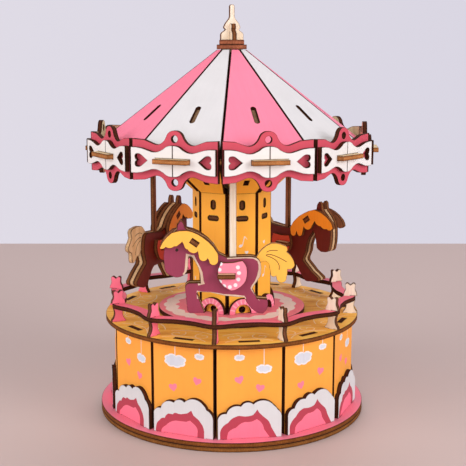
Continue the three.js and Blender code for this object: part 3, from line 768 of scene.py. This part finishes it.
# Painted shade: a dark brown ply for the unprinted faces between a horse's layers and for the backs
# of the cores, which darkens the far horses' poles.
SHADED_PLY = bare("painted_shade", "a06a48", "74482d")
BORDER = bare("border", "dcc0a8", "b8977c", smoke=0.2)
EDGE_DARK = burnt("dark", ("190804", "44200f", "140502", "4c2511"))
EDGE_POST = burnt("post", ("180703", "5c3520", "140502", "6b422a"), patch=0.8)
EDGE_RIM = burnt("rim", ("2a130a", "73401a", "331709", "7f491d"))
EDGE_MID = burnt("mid", ("2a1209", "6b3f22", "2a140b", "7a4c2b"))
EDGE_RIB = burnt("rib", ("3a2012", "7d5f45", "4a2c18", "86684c"))
EDGE_TAB = burnt("tab", ("4a2914", "a06537", "5f381c", "ad7241"))
EDGE_SLOT = burnt("slot", ("160804", "5b3822", "1f0d06", "6a4429"))
EDGE_DISC = burnt("disc", ("3c1c10", "8a4f36", "50281a", "96583c"))
EDGE_TAN = burnt("tan", ("2f180b", "76481f", "3c1f0c", "845326"))
EDGE_CORE = burnt("core", ("2f170d", "c7a276", "8a6238", "cdaa80"))


# ---- Stand ----
WALL_TAB = 6.4
SKIRT_TAB = (12.0, 17.0)
POST_TAB = (80.0, 84.0)
SIDES = 12
TURN = tau / SIDES


def slot_for(x0, x1, apothem):
    return rectangle(x0 - FIT, -apothem - PLY - FIT, x1 + FIT, -apothem + FIT)


def build_base():
    near, far = SKIRT_TAB
    slots = around(slot_for(-WALL_TAB, WALL_TAB, WALL_INNER), SIDES)
    slots += around(slot_for(near, far, SKIRT_INNER), SIDES)
    slots += around(slot_for(-far, -near, SKIRT_INNER), SIDES)
    lower = Region([circle(BASE_R, DISC_SIDES)])
    upper = Region([circle(BASE_R, DISC_SIDES)], [*slots, circle(BORE_R, BORE_SIDES)])
    sheet("base_sheet_lower", lower, lying(0), "base_plate_lower", BASE_PINK,
          EDGE_TAN, body="stand")
    sheet("base_sheet_upper", upper, lying(BASE_MID), "base_plate_upper", BASE_PINK,
          EDGE_RIM, body="stand")


STRING_TOP = 66


def hung_cloud(x, y, width, height):
    """A cloud on a string, grey inside a white border."""
    return [
        (rectangle(x - 0.22, y, x + 0.22, STRING_TOP), WHITE),
        (cloud(x, y, width, height), WHITE),
        (cloud(x, y, width - 2.2, height - 2.2), CLOUD_GREY),
    ]


WALL_PRINTS = [
    [
        *hung_cloud(-6.3, 58, 6.6, 4.7), *hung_cloud(9.2, 50.2, 10, 6.8),
        (heart(-6.3, 43.3, 5.4, 0.25), HEART_PINK), (heart(6.7, 37.4, 5.4, -0.2), HEART_PINK),
    ],
    [
        *hung_cloud(-5.5, 53.6, 14.8, 10.2), *hung_cloud(11.2, 57.9, 6.6, 4.8),
        (heart(-7, 35.5, 5.4, 0.2), HEART_PINK), (heart(9.5, 41.5, 5.4, -0.25), HEART_PINK),
    ],
]


def build_walls():
    near, far = SKIRT_TAB
    wall = [
        rectangle(-WALL_HALF, BASE_TOP, WALL_HALF, WALL_TOP),
        rectangle(-WALL_TAB, BASE_MID, WALL_TAB, DECK_TOP),
    ]
    walls = [Region(wall, prints=prints) for prints in WALL_PRINTS]
    tabs = [rectangle(near, BASE_MID, far, 8), rectangle(-far, BASE_MID, -near, 8)]
    skirts = [
        Region([trace(edge), *tabs], prints=[(trace(red), SKIRT_RED), (trace(pink), PINK)])
        for edge, red, pink in SKIRTS
    ]
    for k in range(SIDES):
        number = f"{k + 1:02d}"
        node = f"wall_panel_{number}"
        sheet(f"wall_sheet_{number}", walls[k % 2], facing(TURN * k, WALL_INNER), node,
              ORANGE, body="stand")
        sheet(f"skirt_sheet_{number}", skirts[k // 2 % 2], facing(TURN * k, SKIRT_INNER), node,
              SKIRT_WHITE, body="stand")


def polar(radius, pieces, x=0.0, y=0.0, phase=0.0):
    """A closed loop round x, y from its radius at each angle, which is counted from the phase."""
    angles = [tau * i / pieces for i in range(pieces)]
    return [(x + radius(a) * sin(a + phase), y - radius(a) * cos(a + phase)) for a in angles]


def spiral(x, y, start, turns, pieces=22):
    """A scroll that opens from its middle."""
    points = []
    for i in range(pieces + 1):
        r, a = 1.2 + 4.8 * i / pieces, start + tau * turns * i / pieces
        points.append((x + r * cos(a), y + r * sin(a)))
    return points


def deck_scrolls():
    """Pale scrolls in each twelfth of the deck."""
    lines = [
        spiral(-9, -70, 0.4, 1.1), spiral(9, -70, pi - 0.4, -1.1),
        bend([(-15, -66), (0, -61), (15, -66)], 12), bend([(-15, -80), (0, -74), (15, -80)], 12),
    ]
    loops = [loop for line in lines for loop in around(stroke(line, 0.65), SIDES)]
    return [(loop, PALE_PRINT) for loop in loops]


def build_deck():
    near, far = POST_TAB
    post_slot = rectangle(-HALF_SLOT, -far - FIT, HALF_SLOT, -near + FIT)
    cut = [
        *around(slot_for(-WALL_TAB, WALL_TAB, WALL_INNER), SIDES),
        *around(post_slot, SIDES, 0.5),
        circle(BORE_R, BORE_SIDES),
    ]
    region = Region([circle(DECK_R, DISC_SIDES)], cut, deck_scrolls())
    sheet("deck_sheet", region, lying(WALL_TOP), "deck_plate", STAIN, EDGE_RIM,
          body="stand")


RAIL_OUTER = (80, 85.5)
RAIL_INNER = (72.8, 77.5)


def rail_edge(narrow, wide):
    """An edge that swells at the posts and draws in between them."""

    def radius(angle):
        return narrow + (wide - narrow) * ((1 - cos(SIDES * angle)) / 2) ** 1.5

    return polar(radius, 240)


def build_railing():
    notch = rectangle(-HALF_SLOT, -POST_R - FIT, HALF_SLOT, -70)
    rail = Region([rail_edge(*RAIL_OUTER)], [rail_edge(*RAIL_INNER), *around(notch, SIDES, 0.5)])
    sheet("rail_sheet", rail, lying(RAIL_BOTTOM), "railing", PINK, body="stand")
    near, far = POST_TAB
    body = shifted(mirrored(POST_HALF), POST_R, DECK_TOP)
    gap = rectangle(POST_R - FIT, RAIL_BOTTOM - FIT, POST_R + 8, RAIL_TOP + FIT)
    post = Region([body, rectangle(near, WALL_TOP, far, DECK_TOP + 1)], [gap])
    for k in range(SIDES):
        sheet(f"post_sheet_{k + 1:02d}", post, radial(TURN * (k + 0.5)), "railing",
              PALE, EDGE_POST, back=PINK, body="stand")


def build_axle():
    pin = Region([circle(AXLE_R, 40)])
    sheet("axle_pin", pin, lying(BASE_MID), "axle_dowel", BARE, BARE,
          depth=AXLE_TOP - BASE_MID, body="stand")


# ---- Carousel ----
STAVES = 8
CANOPY = 10
STAVE_TURN = tau / STAVES
CANOPY_TURN = tau / CANOPY
TABLE_LOBES = 20


def scallop(angle):
    """The radius of the turntable's white print, a ring of round lobes."""
    return 44.4 + 1.8 * abs(cos(TABLE_LOBES * angle / 2)) ** 0.8


def star(angle):
    """The radius of the pink print in it, a ring of points with sides bowed a little inward."""
    part = TABLE_LOBES * angle / (tau) % 1
    return 35.4 + 2.8 * abs(1 - 2 * part) ** 1.4


def build_turntable():
    bore = circle(BORE_R, BORE_SIDES)
    x, y, phase = -1, 1, 0.1
    prints = [
        (polar(scallop, 12 * TABLE_LOBES, x, y, phase), TABLE_WHITE),
        (polar(star, 8 * TABLE_LOBES, x, y, phase), TABLE_PINK),
    ]
    disc = Region([circle(TURNTABLE_R, 160)], [bore], prints)
    sheet("turntable_sheet", disc, lying(TURNTABLE_BOTTOM, CAROUSEL_TURN), "turntable_disc",
          TABLE_PINK)
    ring = Region([circle(COLLAR_R, 64)], [bore])
    for k in range(2):
        sheet(f"hub_ring_{k + 1}", ring, lying(TURNTABLE_TOP + k * PLY), "hub_collar",
              BARE, EDGE_MID)


def music_note(x, y):
    """A plain quaver: an oval head, a stem and a flag."""
    head = turned([(px * 1.5, py) for px, py in circle(0.95, 16)], 0.35, x, y)
    stem = [(x + 0.9, y), (x + 1.4, y), (x + 2.9, y + 6.4), (x + 2.4, y + 6.4)]
    flag = [(x + 2.4, y + 6.4), (x + 2.9, y + 6.4), (x + 4.6, y + 4.3), (x + 4.2, y + 4.4)]
    return [(head, WHITE), (stem, WHITE), (flag, WHITE)]


STAVE_PRINTS = [
    [*music_note(-1, 117.3), (heart(3.1, 112.6, 2.4), WHITE), (heart(-2.6, 91, 2.8), WHITE)],
    [(heart(-0.6, 117.8, 2.6, 0.2), WHITE), *music_note(-1.6, 95)],
]


def build_column():
    foot, arch_z = TURNTABLE_TOP, TURNTABLE_TOP + 1
    brace_slot = turned(round_slot(1.75, -4.2, 4.2), -pi / 2, 0, BRACE_BOTTOM + PLY / 2)
    fin_slot = round_slot(1.9, 141.4, 147.8)
    peephole = circle(2.2, 28, 0, arch_z + 1.5)
    body = [rectangle(-COLUMN_HALF, foot, COLUMN_HALF, COLUMN_TOP)]
    staves = [Region(body, [brace_slot, fin_slot, peephole], p) for p in STAVE_PRINTS]
    ring = trace([(-9.7, foot), (9.7, foot), (9.7, arch_z, 1), (-9.7, arch_z)])
    opening = trace([(-5.5, foot - 1), (5.5, foot - 1), (5.5, arch_z, 1), (-5.5, arch_z)])
    stripes = []
    for k in range(8):
        a = radians(15 + 21.4 * k)
        ray = [(r * cos(a), arch_z + r * sin(a)) for r in (5.9, 7.6, 9.3)]
        stripes.append((stroke(ray, 0.9), PALE_PINK))
    arch = Region([ring], [opening], stripes)
    plan = circle(COLUMN_FACE - PLY - 0.6, STAVES, start=pi / STAVES)
    tabs = around(rectangle(-3.6, -COLUMN_FACE + 0.5, 3.6, -10), STAVES)
    brace = Region([plan, *tabs], [circle(14, 48)])
    fin = Region([rectangle(16, 139, 22, 150), rectangle(20, 142.3, COLUMN_FACE - 0.6, 146.9)])
    sheet("column_brace", brace, lying(BRACE_BOTTOM, COLUMN_TURN), "column", BARE,
          EDGE_SLOT)
    for k in range(STAVES):
        angle = COLUMN_TURN + STAVE_TURN * k
        # The staves take the painted-light orange.
        sheet(f"column_stave_{k + 1}", staves[k % 2], facing(angle, COLUMN_FACE - PLY), "column",
              LIT_COLUMN_ORANGE)
        sheet(f"column_arch_{k + 1}", arch, facing(angle, COLUMN_FACE), "column",
              ROOF_PINK)
        sheet(f"column_fin_{k + 1}", fin, radial(angle), "column", BARE, EDGE_SLOT)


def build_capital():
    rise = CEILING_BOTTOM - 0.1 - COLUMN_TOP
    start, inset = COLUMN_FACE + 1.2, 4.2
    slope = radians(135)
    length = rise * sqrt(2)
    spread = tan(STAVE_TURN / 2)
    low_half, high_half = ((r - inset) * spread - 0.5 for r in (start, start + rise))
    leaf = Region([trapezium(low_half, high_half, length)], [rectangle(-1.7, 9, 1.7, 14)])
    for k in range(STAVES):
        place = sloping(COLUMN_TURN + STAVE_TURN * k, start, COLUMN_TOP + 0.1, slope, -PLY)
        # The leaves take the painted-light orange.
        sheet(f"capital_leaf_{k + 1}", leaf, place, "capital", LIT_COLUMN_ORANGE)


def horse_angle(name, shape):
    """The way a horse faces out: its core's box is centred on the middle of its outline."""
    xs = [x for x, _ in trace(shape["body"]) + trace(shape["tail"])]
    middle = (min(xs) + max(xs)) / 2
    return bearing(f"horse_{name}_core") - atan2(middle, HORSE_R)


HORSES = {"front": STANDING, "left": GALLOPING, "right": GALLOPING}
HORSE_ANGLES = {name: horse_angle(name, shape) for name, shape in HORSES.items()}


def build_ceiling():
    edge = FASCIA_INNER - 0.3
    corner = edge * tan(CANOPY_TURN / 2)
    plan = circle(hypot(edge, corner), CANOPY, start=-pi / 2 + CANOPY_TURN / 2)
    tab = rectangle(-CEILING_TAB_HALF, -CEILING_TAB_R, CEILING_TAB_HALF, -edge + 2)
    slots = []
    for name, shape in HORSES.items():
        x, half = shape["pole"]
        room = half + FIT
        slot = rectangle(x - room, -HORSE_R - HALF_SLOT, x + room, -HORSE_R + HALF_SLOT)
        slots.append(turned(slot, HORSE_ANGLES[name] - CAROUSEL_TURN))
    region = Region([plan, *around(tab, CANOPY)], slots)
    sheet("ceiling_sheet", region, lying(CEILING_BOTTOM, CAROUSEL_TURN), "ceiling_plate",
          BARE, EDGE_TAB)


def build_canopy():
    def raised(points):
        return shifted(points, 0, CEILING_MID)

    def both_ways(corners):
        """A path from the x axis up, with its mirror image below."""
        upper = trace(corners, False)
        return [(x, -y) for x, y in reversed(upper) if y > 0] + upper

    room = CEILING_TAB_HALF + FIT
    slot = raised(rectangle(-room, -HALF_SLOT, room, HALF_SLOT))
    holes = [raised(circle(EYELET_R, 28, 0, y)) for y in (EYELET_Y, -EYELET_Y)]
    back = Region([raised(four_ways(FASCIA_QUARTER))], [slot, *holes])
    wave, heart_hole = both_ways(WAVE_QUARTER), both_ways(HEART_HALF)
    right = Region([raised(wave)], [slot, raised(heart_hole)])
    left = Region([raised(flipped(wave))], [slot, raised(flipped(heart_hole))])
    for k in range(CANOPY):
        angle, number = CAROUSEL_TURN + CANOPY_TURN * k, f"{k + 1:02d}"
        node = f"fascia_panel_{number}"
        sheet(f"canopy_back_{number}", back, facing(angle, FASCIA_INNER), node,
              CRIMSON)
        for side, region in (("right", right), ("left", left)):
            sheet(f"canopy_wave_{side}_{number}", region, facing(angle, FASCIA_INNER + PLY), node,
                  WAVE_WHITE)


def roof_point(along, above):
    """A point of the roof at the front: distance up the slope, height above the lower face."""
    c, s = cos(ROOF_SLOPE), sin(ROOF_SLOPE)
    lift = above - PLY
    return ROOF_EAVE_R - along * c + lift * s, ROOF_EAVE_Z + along * s + lift * c


def build_roof():
    r, z = roof_point(0, 0)
    length = (ROOF_EAVE_R - ROOF_TOP_R) / cos(ROOF_SLOPE)
    spread = tan(CANOPY_TURN / 2)
    low_half, high_half = (roof_point(a, 0)[0] * spread - 0.1 for a in (0, length))
    slot = round_slot(HALF_SLOT, *ROOF_SLOT)
    panel = Region([trapezium(low_half, high_half, length)], [slot])
    for k in range(CANOPY):
        number = f"{k + 1:02d}"
        sheet(f"roof_leaf_{number}", panel,
              sloping(CAROUSEL_TURN + CANOPY_TURN * k, r, z, ROOF_SLOPE), f"roof_panel_{number}",
              ROOF_WHITE if k % 2 else ROOF_PINK)


def build_roof_frame():
    start, end = ROOF_SLOT[0] + RIB_ROOM, ROOF_SLOT[1] - RIB_ROOM
    under, tab = -0.3, PLY - RIB_TAB_DEPTH
    tip = roof_point((ROOF_EAVE_R - HUB_R - PLY / 2) / cos(ROOF_SLOPE), under)
    rib = Region(
        [
            [
                (HUB_R, CEILING_TOP), (ROOF_EAVE_R - 2.4, CEILING_TOP), roof_point(0.3, under),
                roof_point(start, under), roof_point(start, tab), roof_point(end, tab),
                roof_point(end, under), tip, (HUB_R, tip[1]),
            ]
        ],
        [circle(7, 32, 30, 197), circle(3.5, 24, 50, 192)],
    )
    for k in range(CANOPY):
        sheet(f"roof_rib_{k + 1:02d}", rib, radial(CAROUSEL_TURN + CANOPY_TURN * k), "roof_frame",
              BARE, EDGE_RIB)
    post = Region([circle(HUB_R, 48)])
    sheet("roof_post", post, lying(CEILING_TOP), "roof_frame", BARE, BARE,
          depth=FINIAL_BOTTOM - CEILING_TOP)


def build_finial():
    for k, radius in enumerate((10.0, 8.3)):
        sheet(f"finial_disc_{k + 1}", Region([circle(radius, 72)]), lying(FINIAL_BOTTOM + k * PLY),
              "finial_base", BARE, EDGE_DISC)
    half_slot = PLY / 2 + 0.05
    halfway = FINIAL_FOOT + CROSSING_TOP / 2
    blades = [
        (FINIAL_HALF, rectangle(-half_slot, FINIAL_FOOT - 5, half_slot, halfway)),
        (CROSSING_HALF, rectangle(-half_slot, halfway, half_slot, FINIAL_FOOT + 30)),
    ]
    for k, (half, slit) in enumerate(blades):
        outline = shifted(mirrored(half), 0, FINIAL_FOOT)
        sheet(f"finial_blade_{k + 1}", Region([outline], [slit]),
              facing(CAROUSEL_TURN + pi / 2 * k, -PLY / 2), "finial_cross", PALE,
              EDGE_MID, back=PALE)


def build_horse(name, coat, mane, saddle):
    """Five layers of ply across the radius, a seam apart, and the two pegs that join them."""
    shape, angle = HORSES[name], HORSE_ANGLES[name]
    mane_peg, saddle_peg = shape["mane_peg"], shape["saddle_peg"]
    prefix = f"horse_{name}_v"

    def level(n):
        return HORSE_R - PLY / 2 + n * (PLY + SEAM)

    def pair(piece, region, n, node, printed):
        """The same piece on either side of the core, printed on its outer side."""
        for side, k in (("outer", n), ("inner", -n)):
            # The unprinted side, toward the core, takes the painted-shade ply.
            face, back = (printed, SHADED_PLY) if side == "outer" else (SHADED_PLY, printed)
            sheet(f"{prefix}_{piece}_{side}", region[side], facing(angle, level(k)),
                  node.format(side), face, EDGE_MID, back=back)

    def sided(loop, cut, prints=()):
        return {"outer": Region([loop], cut, prints), "inner": Region([loop], cut, (), prints)}

    holes = [peg_hole(mane_peg), peg_hole(saddle_peg)]
    body, tail = trace(shape["body"]), trace(shape["tail"])
    prints = [(trace(loop), BORDER) for loop in shape.get("borders", [])]
    prints.append((circle(1.0, 18, *shape["eye"]), DARK_LINE))
    pair("coat", sided(body, holes, prints), 1, f"horse_{name}_{{}}_side", coat)
    dots = [(circle(1.25, 20, x, y), WHITE) for x, y in path(shape.get("dots", ""))]
    manes, saddles = f"horse_{name}_manes", f"horse_{name}_saddles"
    pair("mane", sided(trace(shape["mane"]), holes[:1]), 2, manes, mane)
    seat = sided(trace(shape["saddle"]), holes[1:], dots)
    pair("saddle", seat, 2, saddles, saddle)

    x, half = shape["pole"]
    pole = rectangle(x - half, POLE_FOOT, x + half, CEILING_TOP)
    lines = [(stroke(bend(path(line)), 0.42), DARK_LINE) for line in shape["tail_lines"]]
    tail_print = [(tail, mane), (body, BARE)] if name == "front" else []
    core = Region(
        [body, tail, pole], [*holes, rectangle(*shape["ears"])],
        tail_print + lines, [(tail, BARE), *lines],
        [(rectangle(x - half - 1, POLE_FOOT, x + half + 1, CEILING_TOP + 1), EDGE_MID)],
    )
    # The core's back, toward the axis, takes the painted-shade ply except at the tail, which
    # darkens the far horses' poles.
    sheet(f"{prefix}_core", core, facing(angle, level(0)), f"horse_{name}_core",
          PALE, EDGE_CORE, back=SHADED_PLY)
    for label, (x, y, w, h, turn), reach, node in (
        ("mane_peg", mane_peg, 0.0, manes), ("saddle_peg", saddle_peg, PLY, saddles),
    ):
        along = tangent(angle) * cos(turn) + UP * sin(turn)
        across = along.cross(outward(angle))
        at = tangent(angle) * x + UP * y + across * h
        bar = Region([rectangle(level(-2) - reach, -w, level(2) + PLY + reach, w)])
        sheet(f"{prefix}_{label}", bar, axes(at, outward(angle), along), node, BARE,
              EDGE_MID, depth=2 * h)


for build in (
    build_base, build_walls, build_deck, build_railing, build_axle, build_turntable, build_column,
    build_capital, build_ceiling, build_canopy, build_roof, build_roof_frame, build_finial,
):
    build()
build_horse("front", PLUM, YELLOW, SADDLE_PINK)
for side in ("left", "right"):
    build_horse(side, MAROON, AMBER, BRICK)


# ---- Stage, light and camera ----
# The camera's distance and height are in mm; the rest of the stage is in metres.
VIEW_TURN = radians(-7.83)
LENS, SENSOR, SHIFT = 76.6, 36.0, 0.00274
CAMERA_DISTANCE = 671.4
CAMERA_HEIGHT = 246.2
CAMERA_TILT = radians(79.48)
AIM_HEIGHT = 0.13
FLOOR_Z = -0.0001
BACKDROP_GLOW, WORLD_GLOW = 1.0, 0.12


def stage(name, points, faces, material):
    mesh = bpy.data.meshes.new(name)
    mesh.from_pydata(points, [], faces)
    mesh.materials.append(material)
    added(name, mesh)
    return mesh


def build_floor():
    material = Graph("stage_floor").finish(linear("c9b3ad"), 0.6)
    spun = Matrix.Rotation(VIEW_TURN, 3, "Z")
    points = [spun @ Vector((x, y, FLOOR_Z)) for x, y in rectangle(-3, -1.6, 3, 0.58)]
    stage("stage_floor", points, [(0, 1, 2, 3)], material)


def build_backdrop():
    """A bright wall round the floor, far off, a little brighter on the camera's left."""
    g = Graph("stage_backdrop")
    colour = g.mix(g.attribute("shade", "Fac"), linear("e6e1e9"), linear("d3d0df"))
    glow = g.node("Emission", {"Strength": BACKDROP_GLOW, "Color": colour})
    g.tree.links.new(glow, g.tree.nodes["Material Output"].inputs[0])
    g.tree.nodes.remove(g.shader)
    pieces, radius, bottom, top = 96, 3.0, -0.9, 2.2
    points, faces, shades = [], [], []
    for i in range(pieces):
        a, after = tau * i / pieces, (i + 1) % pieces
        points += [outward(VIEW_TURN + a) * radius + UP * z for z in (bottom, top)]
        faces.append((2 * i, 2 * i + 1, 2 * after + 1, 2 * after))
        shades += [0.5 + 0.5 * sin(a)] * 2
    mesh = stage("stage_backdrop", points, faces, g.material)
    mesh.attributes.new("shade", "FLOAT", "POINT").data.foreach_set("value", shades)


def area_light(name, azimuth, elevation, distance, size, power, colour=(1.0, 0.99, 0.98)):
    """A round softbox aimed at the middle of the object; azimuth is from the camera's side."""
    turn, rise = VIEW_TURN + radians(azimuth), radians(elevation)
    back = outward(turn) * cos(rise) + UP * sin(rise)
    data = bpy.data.lights.new(name, "AREA")
    data.shape, data.size, data.energy, data.color = "DISK", size, power, colour
    lamp = added(name, data)
    lamp.location = UP * AIM_HEIGHT + back * distance
    lamp.rotation_euler = back.to_track_quat("Z", "Y").to_euler()


def build_light():
    world = bpy.data.worlds.new("studio")
    world.use_nodes = True
    background = world.node_tree.nodes["Background"]
    background.inputs[0].default_value = (*linear("f2eef6"), 1)
    background.inputs[1].default_value = WORLD_GLOW
    bpy.context.scene.world = world
    area_light("right", 55, 20, 1.9, 1.2, 21.5)
    area_light("left", -62, 20, 1.9, 1.2, 15)
    area_light("front", -8, 6, 2.0, 0.6, 7.5)
    area_light("top", -12, 58, 1.9, 1.2, 6.5)
    area_light("back", 170, 55, 1.7, 0.9, 7.5, (1.0, 1.0, 1.0))


def build_camera():
    data = bpy.data.cameras.new("camera")
    data.sensor_width, data.lens, data.shift_x = SENSOR, LENS, SHIFT
    data.clip_start, data.clip_end = 0.01, 20
    camera = added("camera", data)
    camera.location = (outward(VIEW_TURN) * CAMERA_DISTANCE + UP * CAMERA_HEIGHT) * MM
    camera.rotation_euler = (CAMERA_TILT, 0, VIEW_TURN)
    bpy.context.scene.camera = camera
    bpy.context.scene.view_settings.view_transform = "Standard"


build_floor()
build_backdrop()
build_light()
build_camera()
